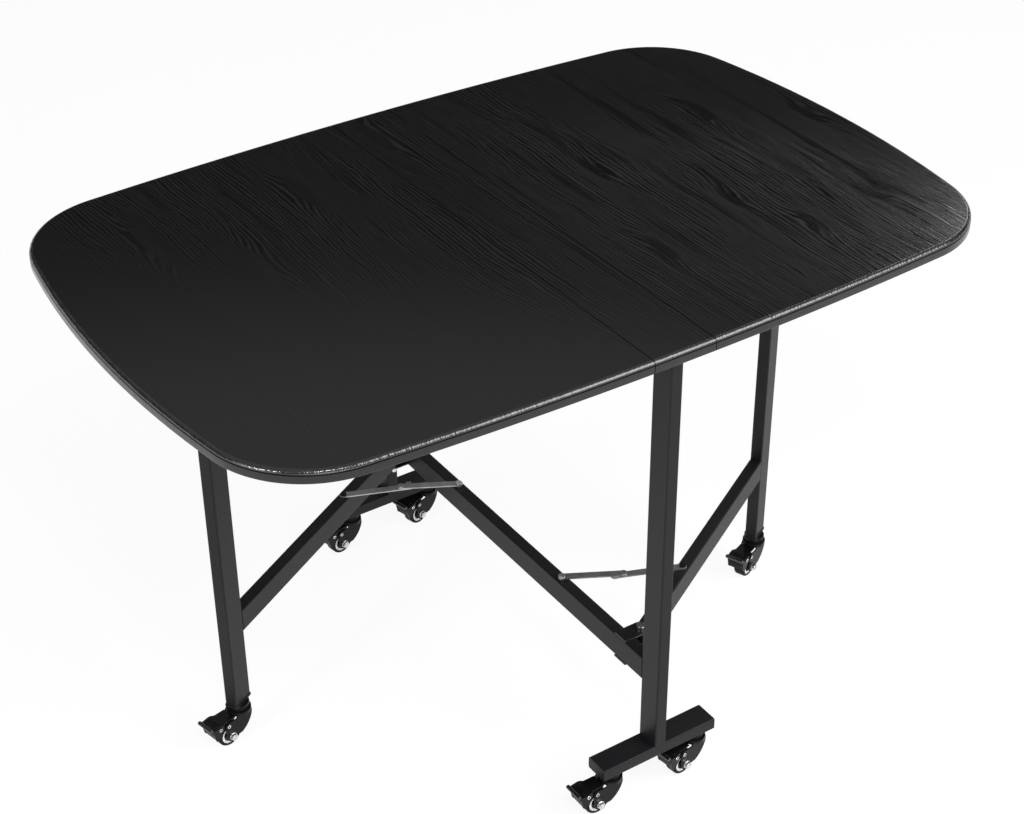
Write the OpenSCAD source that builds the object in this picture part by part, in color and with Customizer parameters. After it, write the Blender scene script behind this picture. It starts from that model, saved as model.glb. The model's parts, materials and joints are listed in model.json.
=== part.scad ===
// Folding gate-leg dining table: a fixed centre strip and two leaves on a tube frame,
// two gates that swing out under the leaves, a folding lock strut on each gate and
// six swivel casters with foot brakes. It is drawn open.
// The origin is on the floor under the middle of the top. +X runs along the open
// length, +Y to the back and +Z up. The left half is the right half turned by 180 degrees.

/* [Table top] */
// Length of the open top, over both leaves
top_length = 1200; // [1120:10:1300]
// Width of the top
top_width = 800; // [780:5:860]
// Height of the top surface above the floor
table_height = 750; // [700:5:800]
// Thickness of the boards
board_t = 18; // [15:1:25]
// Thickness of the glossy edging
edging_t = 2; // [1:0.5:3]
// Radius of the slightly bowed long edges
long_edge_r = 6250; // [4000:50:9000]
// Radius of the bowed ends
end_edge_r = 1610; // [1200:10:3000]
// Radius of the rounded corners
corner_r = 146; // [100:2:180]
// Distance between the two seams
strip_w = 95; // [88:1:110]
// Gap between the boards at a seam
seam_gap = 1.2; // [1.2:0.1:2.4]

/* [Tubes] */
// Narrow side of the frame tube
tube_w = 19; // [17:0.5:21]
// Wide side of the frame tube
tube_d = 38; // [34:1:42]
// Wall of the frame tube
tube_wall = 1.2; // [1:0.1:2]
// Outer corner radius of the frame tube
tube_r = 2.5; // [2:0.5:4]
// Thickness of the flange of an end plug
plug_t = 1; // [0.6:0.2:1.6]
// Depth of an end plug inside its tube
plug_depth = 5; // [3:0.5:6]
// Thickness of the foot plate plug under a gate leg
leg_plug_t = 3; // [2:0.5:6]
// How far a leg plug stands out round its tube
leg_plug_lip = 1; // [0.5:0.1:1.5]

/* [Frame] */
// Distance from an end of the centre strip to the middle of the post under it
post_inset = 34; // [32:1:55]
// Length of a cross foot over its end plugs
foot_length = 195; // [185:5:240]
// Height of the top of the lower rail
rail_z = 223; // [190:1:300]

/* [Gates] */
// Distance from the gate pivot to the middle of its leg
gate_reach = 480; // [430:5:490]
// Angle of the open gate from the table's length
gate_angle = 30; // [24:1:36]
// Gap between a folded gate and the frame rails
gate_gap = 7; // [6:0.5:9]
// Distance from a post's inner face to the gate pivot
pivot_inset = 51; // [45:1:70]
// How far a gate rail runs on past its pivot
rail_tail = 12; // [11:0.5:12.5]
// Clearance over and under a gate rail between its brackets
swing_gap = 0.3; // [0.2:0.1:0.6]
// Clearance between a gate and the leaf that it carries
leaf_rest_gap = 0.3; // [0.2:0.1:0.6]

/* [Pivot brackets] */
// Thickness of a bracket plate
bracket_t = 3; // [2:0.5:4]
// Radius of the bracket's end round the bolt
bracket_r = 13; // [11:0.5:15]
// Radius of a pivot bolt
bolt_r = 4; // [3:0.5:5]
// Radius of the round bolt head
bolt_head_r = 6.2; // [6:0.1:8]
// Height of the bolt head
bolt_head_h = 5; // [3:0.5:6]
// Width of the nut across its corners
nut_w = 15; // [13:0.5:17]
// Height of the nut
nut_h = 7; // [5:0.5:9]
// How far the bolt's end stands out of its nut
bolt_end = 5; // [2:0.5:9]
// Radial running clearance of every pivot
pivot_fit = 0.06; // [0.03:0.01:0.09]

/* [Lock struts] */
// Width of a strut link
link_w = 12; // [10:0.5:14]
// Thickness of a strut link
link_t = 2; // [1.5:0.1:2.5]
// Distance from the gate pivot to the strut's pin on the lower rail
strut_frame_pin = 156; // [150:1:175]
// Distance from the gate pivot to the strut's pin on the gate
strut_gate_pin = 157; // [150:1:175]
// Bend that is left at each link of the locked strut
strut_bend = 3.8; // [3:0.2:5]
// Length of the gate link past the middle pin
link_tail = 14; // [12:0.5:16]
// Radius of the strut's pins
strut_pin_r = 3; // [2.5:0.1:3.5]
// Radius of a rivet head
rivet_r = 5; // [4.5:0.1:5.5]
// Height of a rivet head
rivet_h = 1.5; // [1:0.1:2]
// Vertical clearance between strut pieces that turn on each other
link_gap = 0.3; // [0.2:0.1:0.5]
// Length of the bent-up stop tab
tab_length = 8; // [6:0.5:9]
// Thickness of the stop tab
tab_t = 1.2; // [1:0.1:1.6]

/* [Leaf hinges] */
// Length of a hinge along its seam
hinge_length = 50; // [40:1:60]
// Width of a hinge plate
hinge_w = 30; // [20:1:32]
// Thickness of a hinge plate
hinge_t = 1.5; // [1.2:0.1:2]
// Radius of the hinge knuckle
knuckle_r = 3.5; // [3:0.1:4]
// Radius of the hinge pin
hinge_pin_r = 1.5; // [1.2:0.1:2]
// End clearance between hinge knuckles
knuckle_gap = 0.3; // [0.2:0.1:0.5]
// Distance from a hinge to the path of the gate
hinge_clear = 5; // [3:0.5:8]

/* [Casters] */
// Height of a caster from the floor to the foot
caster_h = 65; // [63:0.5:70]
// Distance of the caster stems from the middle of a foot
stem_spacing = 74; // [70:1:85]
// Distance that a wheel trails behind its stem
caster_trail = 26; // [25:0.5:28]
// Radius of a wheel
wheel_r = 20; // [19:0.5:20.5]
// Width of a tyre
tyre_w = 19; // [16:0.5:19.5]
// Radius of the pale rim inside the tyre
rim_r = 15.5; // [14:0.5:16]
// Radius of the black hub inside the rim
hub_r = 11; // [9:0.5:12]
// Radius of the rounded tyre shoulder
tyre_shoulder = 3.5; // [2:0.5:4]
// Radius of the axle
axle_r = 3; // [2.5:0.1:3.5]
// Gap between the wheel and the crown above it
wheel_gap = 8; // [7:0.5:8.5]
// Distance of a fork arm's inner face from the wheel's middle plane
arm_inner = 12.3; // [12.2:0.1:14]
// Thickness of the fork's sheet steel
arm_t = 2; // [1.5:0.1:2.5]
// Radius of the fork's crown
crown_r = 18; // [17:0.5:19]
// Thickness of the fork's crown
crown_t = 6; // [4:0.5:6]
// Radius of the bearing race over the crown
race_r = 16; // [14:0.5:16.5]
// Radius of the king pin
king_pin_r = 4; // [3:0.1:4.5]
// Radius of the threaded stem
stem_r = 5; // [4:0.5:6]
// Height of the stem inside its tube
stem_h = 15; // [8:0.5:15]
// Radial clearance of a stem or bolt in a fixed hole
hole_fit = 0.1; // [0.05:0.05:0.3]

/* [Brake pedals] */
// Distance of the pedal's pivot rivet behind the stem
pedal_pivot_u = 31.5; // [30.5:0.5:33]
// Height of the pedal's pivot rivet over the axle
pedal_pivot_rise = 22; // [21:0.5:22.5]
// Thickness of the pedal's sheet
pedal_t = 1.6; // [1.2:0.1:1.8]
// Half the width of the pedal's tread
pedal_half_w = 15.5; // [15:0.5:17]
// How far the lip stands behind the stem
pedal_reach = 63; // [62:0.5:66]
// Thickness of the pedal's ears inside the fork
ear_t = 1.6; // [1.2:0.1:1.8]
// Gap between the brake shoe and the released tyre
shoe_gap = 3.6; // [3.5:0.1:4]

/* [Hidden] */
$fn = 64;

// Heights
underside_z = table_height - board_t;
foot_z = caster_h;
foot_top_z = foot_z + tube_w;
lower_rail_z = rail_z - tube_d / 2;
top_rail_z = underside_z - bracket_t - tube_d / 2;
gate_top_z = underside_z - leaf_rest_gap;

// Places in the plan
seam_x = strip_w / 2;
post_y = top_width / 2 - post_inset;
rail_length = 2 * post_y - tube_d;
pivot_x = tube_w + gate_gap;
pivot_y = -(rail_length / 2 - pivot_inset);
pivot = [pivot_x, pivot_y];
open_way = [cos(gate_angle), sin(gate_angle)];
gate_leg_at = pivot + gate_reach * open_way;

// Lock strut: two equal links from pin to pin, almost straight when the gate is open
frame_pin_at = [0, pivot_y + strut_frame_pin];
gate_pin_at = pivot + strut_gate_pin * open_way;
strut_span = gate_pin_at - frame_pin_at;
strut_dir = atan2(strut_span[1], strut_span[0]);
link_length = norm(strut_span) / 2 / cos(strut_bend);
gate_link_z = rail_z + link_gap;
frame_link_z = gate_link_z + link_t + link_gap;
frame_link_top = frame_link_z + link_t;

// Leaf hinges: the axis lies under the seam, beside the paths of the rail end and the leg
hinge_z = underside_z - knuckle_r - knuckle_gap;
rail_end_sweep = norm([rail_tail, tube_w / 2]);
near_hinge_y = pivot_y - rail_end_sweep - hinge_length / 2 - hinge_clear;
far_hinge_y = pivot_y + gate_reach + tube_d / 2 + hinge_length / 2 + 4 * hinge_clear;

// Casters: name, stem and the direction in which the wheel trails
CASTERS = [
    ["front_left_caster", [-stem_spacing, -post_y], 180],
    ["front_right_caster", [stem_spacing, -post_y], 188],
    ["back_left_caster", [-stem_spacing, post_y], 190],
    ["back_right_caster", [stem_spacing, post_y], 194],
    ["left_gate_caster", -gate_leg_at, 192],
    ["right_gate_caster", gate_leg_at, 201],
];
CASTER_PIECES = ["fork", "pedal", "axle", "hub", "tyre"];
crown_z = 2 * wheel_r + wheel_gap;
crown_top = crown_z + crown_t;
arm_outer = arm_inner + arm_t;
axle_at = [caster_trail, wheel_r];
pedal_pivot_at = [pedal_pivot_u, wheel_r + pedal_pivot_rise];
pedal_rivet_at = pedal_pivot_at + [15.2, 2.9];
arm_end_r = 9;
arm_front_r = 41.5;
arm_front_c = axle_at + [2.4, arm_front_r - 8.3];
ear_r = 5;
rivet_shank_r = 2;
rivet_head_r = 2.8;
rivet_head_t = 1.4;
pedal_top_z = crown_top - 3;
pedal_front = crown_r + 1;
pedal_wide_from = pedal_pivot_u + 7.5;
lip_r = 1.7;
race_pitch = (foot_z - crown_top - link_gap) / 3;
// The brake shoe hangs behind the tyre, clear of it by the shoe gap
shoe_foot = axle_at + (wheel_r + shoe_gap) * [cos(14), sin(14)];

// Outline of the top: three tangent arcs in each quarter
long_c = [0, top_width / 2 - long_edge_r];
end_c = [top_length / 2 - end_edge_r, 0];
corner_c = circle_meet(long_c, long_edge_r - corner_r, end_c, end_edge_r - corner_r);
long_turn = atan2(corner_c[1] - long_c[1], corner_c[0] - long_c[0]);
end_turn = atan2(corner_c[1] - end_c[1], corner_c[0] - end_c[0]);

// Points along an arc, with the first one left out when it starts at 1
function arc_points(centre, radius, from, to, steps, start = 0) =
    [for (i = [start : steps]) let (a = from + (to - from) * i / steps)
        centre + radius * [cos(a), sin(a)]];

// The crossing of two circles that lies to the right of the line from p to q
function circle_meet(p, rp, q, rq) =
    let (d = q - p, l = norm(d), a = (rp * rp - rq * rq + l * l) / (2 * l))
        p + a * d / l + sqrt(rp * rp - a * a) * [d[1], -d[0]] / l;

// A rectangle with rounded corners, as points
function rounded_rect(size, r) =
    let (x = size[0] / 2 - r, y = size[1] / 2 - r)
        concat(arc_points([x, y], r, 0, 90, 4), arc_points([-x, y], r, 90, 180, 4),
            arc_points([-x, -y], r, 180, 270, 4), arc_points([x, -y], r, 270, 360, 4));

// A quarter of the top's outline, from the end's middle to the long edge's middle
function quarter(inset) = concat(
    arc_points(end_c, end_edge_r - inset, 0, end_turn, 6),
    arc_points(corner_c, corner_r - inset, end_turn, long_turn, 14, 1),
    arc_points(long_c, long_edge_r - inset, long_turn, 90, 8, 1));

function outline(inset) = let (q = quarter(inset), n = len(q) - 1) concat(
    q,
    [for (i = [n - 1 : -1 : 0]) [-q[i][0], q[i][1]]],
    [for (i = [1 : n]) [-q[i][0], -q[i][1]]],
    [for (i = [n - 1 : -1 : 1]) [q[i][0], -q[i][1]]]);

// A flat bar with round ends at x = 0 and x = length
function bar_points(length, w) =
    concat(arc_points([length, 0], w / 2, -90, 90, 12), arc_points([0, 0], w / 2, 90, 270, 12));

// Places its children on the right half, or turned half way round for the left
module side(left) {
    rotate([0, 0, left ? 180 : 0]) children();
}

// Hollow tube that runs up from z = 0, with its section centred on the axis
module tube(size, length) {
    inner_r = max(0.5, tube_r - tube_wall);
    linear_extrude(length) difference() {
        polygon(rounded_rect(size, tube_r));
        polygon(rounded_rect(size - 2 * [tube_wall, tube_wall], inner_r));
    }
}

// Solid bar in place of the tube, for plugs
module plug_bar(size, lip, length) {
    linear_extrude(length) polygon(rounded_rect(size + 2 * [lip, lip], tube_r));
}

// End plug: a flange below z = 0 and an insert that fills the tube above it
module end_plug(size, lip, flange_t, depth) {
    translate([0, 0, -flange_t]) plug_bar(size, lip, flange_t);
    plug_bar(size, -tube_wall - hole_fit, depth);
}

module along_x() {
    rotate([90, 0, 90]) children();
}

module along_y() {
    rotate([-90, 0, 0]) children();
}

// The part of the plan that belongs to the right leaf
module leaf_area() {
    translate([seam_x + seam_gap / 2, -top_width]) square([top_length, 2 * top_width]);
}

module strip_area() {
    square([strip_w - seam_gap, 2 * top_width], center = true);
}

module edging_ring() {
    difference() {
        polygon(outline(0));
        polygon(outline(edging_t));
    }
}

module at_board_height() {
    translate([0, 0, underside_z]) linear_extrude(board_t) children();
}

module leaf() {
    color("#2b2b2d") at_board_height() intersection() {
        polygon(outline(edging_t));
        leaf_area();
    }
}

module leaf_edging() {
    color("#101012") at_board_height() intersection() {
        edging_ring();
        leaf_area();
    }
}

module centre_panel() {
    color("#2d2d2f") at_board_height() intersection() {
        polygon(outline(edging_t));
        strip_area();
    }
}

module centre_edging() {
    color("#101012") at_board_height() intersection() {
        edging_ring();
        strip_area();
    }
}

// Cylinder along Y, between two ends, on the hinge axis
module on_hinge_axis(r, from, to) {
    translate([0, from, 0]) along_y() cylinder(h = to - from, r = r);
}

// Screw heads of one hinge plate
module hinge_screws(x, plate_z) {
    for (y = [-hinge_length / 3, 0, hinge_length / 3])
        translate([x, y, plate_z - 0.8]) cylinder(h = 1, r = 3);
}

// Fixed half of a hinge and its pin, with the hinge axis along Y through the origin
module fixed_hinge() {
    plate_z = knuckle_r + knuckle_gap - hinge_t;
    middle = hinge_length / 6;
    cut = knuckle_r + 2 * knuckle_gap;
    difference() {
        translate([-seam_gap / 2 - hinge_w, -hinge_length / 2, plate_z])
            cube([hinge_w, hinge_length, hinge_t]);
        translate([-cut, -middle - knuckle_gap, plate_z - 1])
            cube([2 * cut, 2 * (middle + knuckle_gap), hinge_t + 2]);
    }
    on_hinge_axis(knuckle_r, -hinge_length / 2, -middle - knuckle_gap);
    on_hinge_axis(knuckle_r, middle + knuckle_gap, hinge_length / 2);
    on_hinge_axis(hinge_pin_r, -hinge_length / 2, hinge_length / 2);
    hinge_screws(-hinge_w / 2 - 4, plate_z);
}

// Leaf half of a hinge, with a bored knuckle in the middle
module leaf_hinge() {
    plate_z = knuckle_r + knuckle_gap - hinge_t;
    middle = hinge_length / 6;
    cut = knuckle_r + 2 * knuckle_gap;
    difference() {
        union() {
            translate([cut, -hinge_length / 2, plate_z])
                cube([seam_gap / 2 + hinge_w - cut, hinge_length, hinge_t]);
            translate([seam_gap / 2, -middle, plate_z]) cube([cut + 1, 2 * middle, hinge_t]);
            on_hinge_axis(knuckle_r, -middle, middle);
        }
        on_hinge_axis(hinge_pin_r + pivot_fit, -middle - 1, middle + 1);
    }
    hinge_screws(hinge_w / 2 + 4, plate_z);
}

module at_hinges() {
    for (y = [near_hinge_y, far_hinge_y])
        translate([seam_x, y, hinge_z]) children();
}

module fixed_hinge_plates() {
    color("#8b8d90") for (left = [false, true]) side(left) at_hinges() fixed_hinge();
}

module leaf_hinge_plates() {
    color("#8b8d90") at_hinges() leaf_hinge();
}

module post(y) {
    color("#2a2a2c") translate([0, y, foot_top_z])
        tube([tube_w, tube_d], underside_z - foot_top_z);
}

module feet() {
    tube_length = foot_length - 2 * plug_t;
    color("#262628") for (y = [-post_y, post_y]) difference() {
        translate([-tube_length / 2, y, foot_z + tube_w / 2]) along_x()
            tube([tube_d, tube_w], tube_length);
        for (x = [-stem_spacing, stem_spacing])
            translate([x, y, foot_z - 1]) cylinder(h = tube_w / 2, r = stem_r + hole_fit);
    }
}

module rail_tube(z) {
    translate([0, rail_length / 2, z]) rotate([90, 0, 0]) tube([tube_w, tube_d], rail_length);
}

module lower_rail() {
    color("#2a2a2c") difference() {
        rail_tube(lower_rail_z);
        for (left = [false, true]) side(left)
            translate([frame_pin_at[0], frame_pin_at[1], rail_z - 5])
                cylinder(h = 10, r = strut_pin_r + hole_fit);
    }
}

module top_rail() {
    color("#2a2a2c") rail_tube(top_rail_z);
}

// Plate that is welded on a frame rail and reaches out round the pivot bolt
module bracket_plate() {
    linear_extrude(bracket_t) difference() {
        polygon(concat(
            [[-tube_w / 2, bracket_r], [-tube_w / 2, -bracket_r]],
            arc_points([pivot_x, 0], bracket_r, -90, 90, 16)));
        translate([pivot_x, 0]) circle(bolt_r + hole_fit);
    }
}

module pivot_brackets() {
    color("#1d1d1f") for (left = [false, true], z = [lower_rail_z, top_rail_z]) side(left) {
        translate([0, pivot_y, z + tube_d / 2]) bracket_plate();
        translate([0, pivot_y, z - tube_d / 2 - bracket_t]) bracket_plate();
    }
}

module foot_plugs() {
    color("#1b1b1d") for (y = [-post_y, post_y], turn = [0, 180])
        rotate([0, 0, turn]) translate([foot_length / 2 - plug_t, y, foot_z + tube_w / 2])
            rotate([-90, 0, 90]) end_plug([tube_d, tube_w], 0, plug_t, plug_depth);
}

// Pivot bolt of a lower rail: round head on top, nut and bolt end below
module lower_pivot_bolt() {
    low = rail_z - tube_d - bracket_t;
    high = rail_z + bracket_t;
    translate([0, 0, low - nut_h - bolt_end])
        cylinder(h = high - low + nut_h + bolt_end + 1, r = bolt_r);
    translate([0, 0, high]) cylinder(h = bolt_head_h, r = bolt_head_r);
    translate([0, 0, low - nut_h]) cylinder(h = nut_h, d = nut_w, $fn = 6);
}

// Pivot bolt of a top rail: flush under the centre strip, hexagon head below
module top_pivot_bolt() {
    low = top_rail_z - tube_d / 2 - bracket_t;
    translate([0, 0, low - 1]) cylinder(h = underside_z - low + 1, r = bolt_r);
    translate([0, 0, low - nut_h]) cylinder(h = nut_h, d = nut_w, $fn = 6);
}

// Rivet that carries a link: shank from below a tube wall, washer up to the link, head over it
module strut_rivet(wall_z, link_z) {
    head_z = link_z + link_t + link_gap;
    shank = tube_wall + 2;
    translate([0, 0, wall_z - shank]) cylinder(h = head_z - wall_z + shank + 1, r = strut_pin_r);
    if (link_z - link_gap > wall_z)
        translate([0, 0, wall_z]) cylinder(h = link_z - link_gap - wall_z, r = rivet_r);
    translate([0, 0, head_z]) cylinder(h = rivet_h, r = rivet_r);
}

module frame_bolts() {
    color("#c9cacc") for (left = [false, true]) side(left) {
        translate([pivot_x, pivot_y, 0]) lower_pivot_bolt();
        translate([pivot_x, pivot_y, 0]) top_pivot_bolt();
        translate([frame_pin_at[0], frame_pin_at[1], 0]) strut_rivet(rail_z, frame_link_z);
    }
}

// Stem, bearing race and king pin of one caster, over the floor point under the stem
module caster_stem() {
    translate([0, 0, foot_z - 1]) cylinder(h = stem_h + 1, r = stem_r);
    translate([0, 0, crown_top + link_gap])
        cylinder(h = foot_z - crown_top - link_gap, r = race_r - 3);
    for (ring = [0, 1, 2]) translate([0, 0, crown_top + link_gap + ring * race_pitch])
        cylinder(h = 0.7 * race_pitch, r = race_r - 1 + ring / 2);
    translate([0, 0, crown_z - 3.2]) cylinder(h = foot_z - crown_z + 3.2, r = king_pin_r);
    translate([0, 0, crown_z - 3.2]) cylinder(h = 2.9, r = king_pin_r + 2.5);
}

module frame_stems() {
    color("#3a3a3d") for (x = [-stem_spacing, stem_spacing], y = [-post_y, post_y])
        translate([x, y, 0]) caster_stem();
}

// Places its children in the right gate's own frame: X along the gate from its pivot
module at_gate() {
    translate([pivot_x, pivot_y, 0]) rotate([0, 0, gate_angle]) children();
}

module gate_leg() {
    leg_z = foot_z + leg_plug_t;
    color("#2c2c2e") at_gate() translate([gate_reach, 0, leg_z])
        tube([tube_d, tube_w], gate_top_z - 2 * plug_t - leg_z);
}

module gate_rail(z) {
    rail_h = tube_d - 2 * swing_gap;
    translate([plug_t - rail_tail, 0, z]) along_x()
        tube([tube_w, rail_h], gate_reach - tube_d / 2 + rail_tail - plug_t);
}

module gate_rails() {
    color("#2a2a2c") at_gate() difference() {
        union() {
            gate_rail(lower_rail_z);
            gate_rail(top_rail_z);
        }
        cylinder(h = table_height, r = bolt_r + pivot_fit);
        translate([strut_gate_pin, 0, rail_z - 5]) cylinder(h = 10, r = strut_pin_r + hole_fit);
    }
}

module gate_plugs() {
    rail_h = tube_d - 2 * swing_gap;
    leg_size = [tube_d, tube_w];
    color("#1b1b1d") at_gate() {
        difference() {
            translate([gate_reach, 0, foot_z + leg_plug_t])
                end_plug(leg_size, leg_plug_lip, leg_plug_t, stem_h - leg_plug_t);
            translate([gate_reach, 0, foot_z - 1]) cylinder(h = stem_h + 2, r = stem_r + hole_fit);
        }
        translate([gate_reach, 0, gate_top_z - 2 * plug_t]) rotate([180, 0, 0])
            end_plug(leg_size, 0, 2 * plug_t, plug_depth);
        for (z = [lower_rail_z, top_rail_z])
            translate([plug_t - rail_tail, 0, z]) along_x()
                end_plug([tube_w, rail_h], 0, plug_t, plug_depth);
    }
}

module gate_fasteners() {
    color("#55565a") at_gate() {
        translate([gate_reach, 0, 0]) caster_stem();
        translate([strut_gate_pin, 0, 0]) strut_rivet(rail_z - swing_gap, gate_link_z);
    }
}

// Upper link of a lock strut, from the frame rail to the middle rivet that it carries
module frame_link() {
    color("#85878a") translate([frame_pin_at[0], frame_pin_at[1], frame_link_z])
        rotate([0, 0, strut_dir - strut_bend]) {
            linear_extrude(link_t) difference() {
                polygon(bar_points(link_length, link_w));
                circle(strut_pin_r + pivot_fit);
            }
            translate([link_length, 0, 0]) cylinder(h = link_t + rivet_h, r = rivet_r);
        }
}

// Lower link, from the gate past the middle rivet to the bent-up stop tab
module gate_link() {
    tab_from = link_length + link_tail - tab_length + link_w / 4;
    color("#7f8184") translate([gate_pin_at[0], gate_pin_at[1], gate_link_z])
        rotate([0, 0, strut_dir + 180 + strut_bend]) {
            linear_extrude(link_t) difference() {
                polygon(bar_points(link_length + link_tail, link_w));
                circle(strut_pin_r + pivot_fit);
            }
            translate([tab_from, (link_w - tab_t) / 2, 0])
                cube([tab_length, tab_t, frame_link_top + rivet_h - gate_link_z]);
        }
}

// Places its children at one caster: X trails behind the stem
module at_caster(c) {
    translate([c[1][0], c[1][1], 0]) rotate([0, 0, c[2]]) children();
}

// Upright plate from an outline in the trailing and upward directions, between two offsets
module upright(points, from, to) {
    translate([0, to, 0]) rotate([90, 0, 0]) linear_extrude(to - from) polygon(points);
}

module both_arms(points, inner, outer) {
    upright(points, inner, outer);
    upright(points, -outer, -inner);
}

// Fork: crown, top web, two swept arms and the pedal's pivot rivets
module caster_fork() {
    web_end = crown_r - 2;
    arm = concat(
        [[6 - crown_r, crown_top - 1]],
        arc_points(arm_front_c, arm_front_r, 190, 240, 8),
        arc_points(axle_at, arm_end_r, 205, 350, 10),
        arc_points(pedal_pivot_at, ear_r, 0, 90, 6),
        [[web_end, pedal_pivot_at[1] + ear_r], [web_end - 4, crown_top - 1]]);
    color("#3c3c3f") difference() {
        union() {
            translate([0, 0, crown_z]) cylinder(h = crown_t, r = crown_r);
            translate([0, -arm_outer, crown_top - arm_t - 1])
                cube([web_end - 4, 2 * arm_outer, arm_t]);
            both_arms(arm, arm_inner, arm_outer);
            for (s = [-1, 1])
                translate([pedal_pivot_at[0], s * (arm_outer + arm_inner) / 2, pedal_pivot_at[1]])
                    rotate([-90 * s, 0, 0]) pivot_rivet();
        }
        translate([0, 0, crown_z - 1]) cylinder(h = crown_t + 2, r = king_pin_r + pivot_fit);
        translate([axle_at[0], -arm_outer - 1, axle_at[1]]) along_y()
            cylinder(h = 2 * arm_outer + 2, r = axle_r + hole_fit);
    }
}

// Rivet from the middle of a fork arm: pin inwards through the pedal's ear, head outwards
module pivot_rivet() {
    inward = arm_t / 2 + link_gap + ear_t;
    translate([0, 0, -inward]) cylinder(h = inward, r = rivet_shank_r);
    cylinder(h = arm_t / 2 + rivet_head_t, r = rivet_head_r);
}

// Section of the pedal's sheet from a front end to the curled lip
function tread_points(front) =
    let (lip = pedal_reach, top = [[front, pedal_top_z], [lip - 16, pedal_top_z],
        [lip - 9, pedal_top_z - 1.2], [lip - 5.5, pedal_top_z - 1.6],
        [lip - 2.5, pedal_top_z - 0.6], [lip, pedal_top_z + 1.8]])
    concat(top, [for (i = [len(top) - 1 : -1 : 0]) top[i] - [0, pedal_t]]);

// Pedal: tread with a rolled lip, side cheeks, inner ears on the pivot rivets and brake shoe
module caster_pedal() {
    lip = pedal_reach;
    cheek_top = pedal_top_z - pedal_t / 2;
    ear_outer = arm_inner - link_gap;
    cheek = [[pedal_wide_from, cheek_top], [pedal_wide_from + 2, pedal_pivot_at[1] - 4],
        axle_at + [20, 10], shoe_foot + [1.5, -0.5], shoe_foot + [6.5, 1.5],
        [lip - 4, pedal_top_z - 7], [lip - 7, cheek_top - 1]];
    ear = concat([[pedal_rivet_at[0] + 4, cheek_top], [pedal_pivot_at[0], cheek_top]],
        arc_points(pedal_pivot_at, ear_r - 1, 90, 270, 12),
        [[pedal_rivet_at[0] + 2, pedal_rivet_at[1] - 4]]);
    shoe = [shoe_foot, shoe_foot + [5, 1], [lip - 5, pedal_top_z - 7], [lip - 8, pedal_top_z - 2],
        [lip - 11, pedal_top_z - 1]];
    color("#161618") difference() {
        union() {
            upright(tread_points(pedal_front), -ear_outer, ear_outer);
            upright(tread_points(pedal_wide_from), -pedal_half_w, pedal_half_w);
            translate([lip, -pedal_half_w, pedal_top_z + 1]) along_y()
                cylinder(h = 2 * pedal_half_w, r = lip_r);
            both_arms(cheek, ear_outer - 0.1, arm_outer);
            both_arms(ear, ear_outer - ear_t, ear_outer);
            upright(shoe, -ear_outer, ear_outer);
            for (s = [-1, 1]) translate([pedal_rivet_at[0], s * arm_outer, pedal_rivet_at[1]])
                rotate([-90 * s, 0, 0]) cylinder(h = rivet_head_t, r = rivet_head_r);
        }
        translate([pedal_pivot_at[0], -arm_outer, pedal_pivot_at[1]]) along_y()
            cylinder(h = 2 * arm_outer, r = rivet_shank_r + pivot_fit);
    }
}

// Axle bolt: head on the far side, washer, nut and bolt end on the near side
module caster_axle() {
    color("#d2d3d5") translate([axle_at[0], 0, axle_at[1]]) along_y() {
        translate([0, 0, -arm_outer]) cylinder(h = 2 * arm_outer + 6.7, r = axle_r);
        translate([0, 0, -arm_outer - 4]) cylinder(h = 4, d = 11.5, $fn = 6);
        translate([0, 0, arm_outer]) cylinder(h = 1, r = 6);
        translate([0, 0, arm_outer + 1]) cylinder(h = 4.5, d = 11.5, $fn = 6);
    }
}

// Half section of the hub: boss, black web and pale rim
module caster_hub() {
    boss = arm_inner - 0.5;
    bore = axle_r + pivot_fit;
    rim_half = tyre_w / 2 - 1;
    web_half = tyre_w / 2 - 3;
    half = [[bore, 0], [bore, boss], [axle_r + 3, boss], [axle_r + 3, web_half], [hub_r, web_half],
        [hub_r, rim_half], [rim_r, rim_half], [rim_r, 0]];
    mirrored = [for (i = [len(half) - 2 : -1 : 1]) [half[i][0], -half[i][1]]];
    color("#c8c8ca") translate([axle_at[0], 0, axle_at[1]]) along_y()
        rotate_extrude() polygon(concat(half, mirrored));
}

module caster_tyre() {
    half_w = tyre_w / 2;
    s = tyre_shoulder;
    section = concat([[rim_r, -half_w], [wheel_r - s, -half_w]],
        arc_points([wheel_r - s, -half_w + s], s, -90, 0, 6, 1),
        arc_points([wheel_r - s, half_w - s], s, 0, 90, 6),
        [[rim_r, half_w]]);
    color("#1a1a1b") translate([axle_at[0], 0, axle_at[1]]) along_y()
        rotate_extrude() polygon(section);
}

centre_panel();
side(true) leaf();  // left_leaf
leaf();  // right_leaf
centre_edging();
side(true) leaf_edging();  // left_edging
leaf_edging();  // right_edging
fixed_hinge_plates();
side(true) leaf_hinge_plates();  // left_hinge_plates
leaf_hinge_plates();  // right_hinge_plates
post(-post_y);  // front_post
post(post_y);  // back_post
feet();
lower_rail();
top_rail();
pivot_brackets();
foot_plugs();
frame_bolts();
frame_stems();
side(true) gate_leg();  // left_gate_leg
side(true) gate_rails();  // left_gate_rails
side(true) gate_plugs();  // left_gate_plugs
side(true) gate_fasteners();  // left_gate_fasteners
gate_leg();  // right_gate_leg
gate_rails();  // right_gate_rails
gate_plugs();  // right_gate_plugs
gate_fasteners();  // right_gate_fasteners
side(true) frame_link();  // left_frame_link
side(true) gate_link();  // left_gate_link
frame_link();  // right_frame_link
gate_link();  // right_gate_link
for (c = CASTERS) {
    at_caster(c) caster_fork();
    at_caster(c) caster_pedal();
    at_caster(c) caster_axle();
    at_caster(c) caster_hub();
    at_caster(c) caster_tyre();
}
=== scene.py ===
import json
import math

import bmesh
import bpy
from mathutils import Matrix, Vector


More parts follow.
